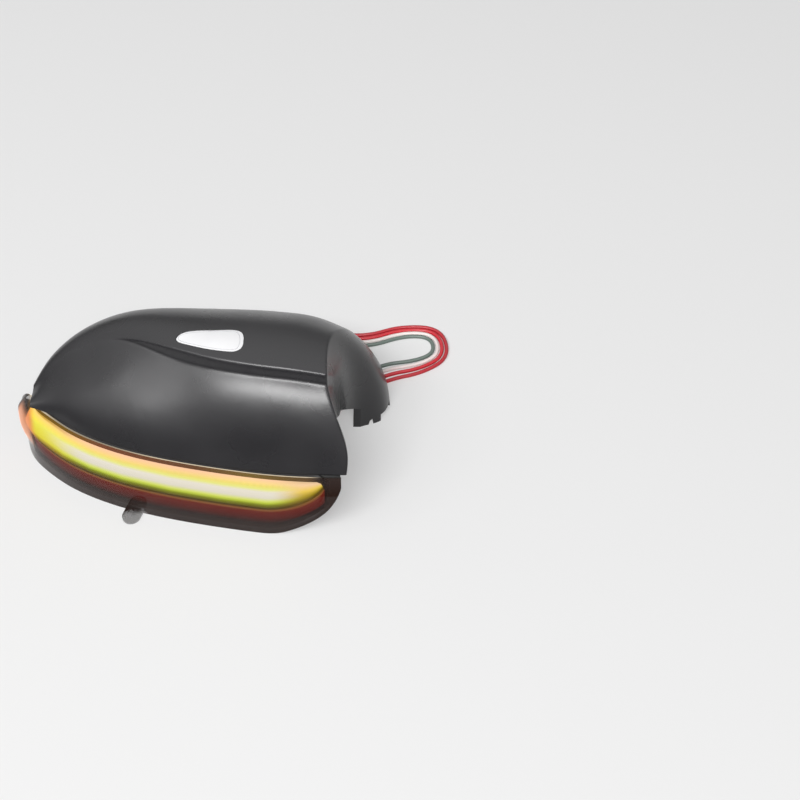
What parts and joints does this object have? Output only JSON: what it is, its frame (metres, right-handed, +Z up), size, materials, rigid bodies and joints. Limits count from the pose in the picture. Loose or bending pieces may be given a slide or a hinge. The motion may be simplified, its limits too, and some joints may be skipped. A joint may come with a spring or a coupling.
{
  "type": "mirror turn signal lamp",
  "caption": "Door mirror cap with a curved light bar lamp fitted along its lower edge, a foot for the mirror's arm, and leads that end in a plug.",
  "frame": {"origin": "middle of the box of the cap with its lamp, on the ground that the cap's open rim lies on", "axes": "+X towards the inner end with the arm's opening, +Y away from the lamp, +Z up, which is the car's forward direction when fitted"},
  "size_m": [0.2691, 0.1774, 0.0963],
  "materials": {
    "cap_plastic": "satin moulded black, fine grain",
    "clear_insert": "clear polycarbonate",
    "smoked_lens": "smoked clear polycarbonate, polished",
    "seal_rubber": "matte",
    "tray_plastic": "moulded black",
    "light_bar": "clear acrylic, lit amber",
    "bezel_plastic": "dark red, polished",
    "board": "solder resist",
    "led_body": "white ceramic with amber dome",
    "chip_body": "moulded epoxy",
    "screw_steel": "zinc plated",
    "vent_plastic": "moulded",
    "lead_crimson": "extruded insulation",
    "lead_red": "extruded insulation",
    "lead_white": "extruded insulation",
    "lead_green": "extruded insulation, grey-green",
    "plug_plastic": "moulded",
    "plug_seal": "silicone",
    "terminal_metal": "tin plated"
  },
  "bodies": {
    "root": {"mirror_cap": "cap_plastic", "window_insert": "clear_insert", "lens_cover": "smoked_lens", "lens_gasket": "seal_rubber", "lamp_housing": "tray_plastic", "light_guide": "light_bar", "guide_bezel": "bezel_plastic", "led_board": "board", "leds": "led_body", "driver_chips": "chip_body", "board_resistors": "chip_body", "board_screws": "screw_steel", "vent_plug": "vent_plastic", "lamp_screws": "screw_steel", "cable_grommet": "seal_rubber", "connector_housing": "plug_plastic", "connector_seal": "plug_seal", "connector_terminals": "terminal_metal", "connector_lock": "plug_plastic", "lead_crimson": "lead_crimson", "lead_red": "lead_red", "lead_white": "lead_white", "lead_green": "lead_green"}
  },
  "joints": []
}
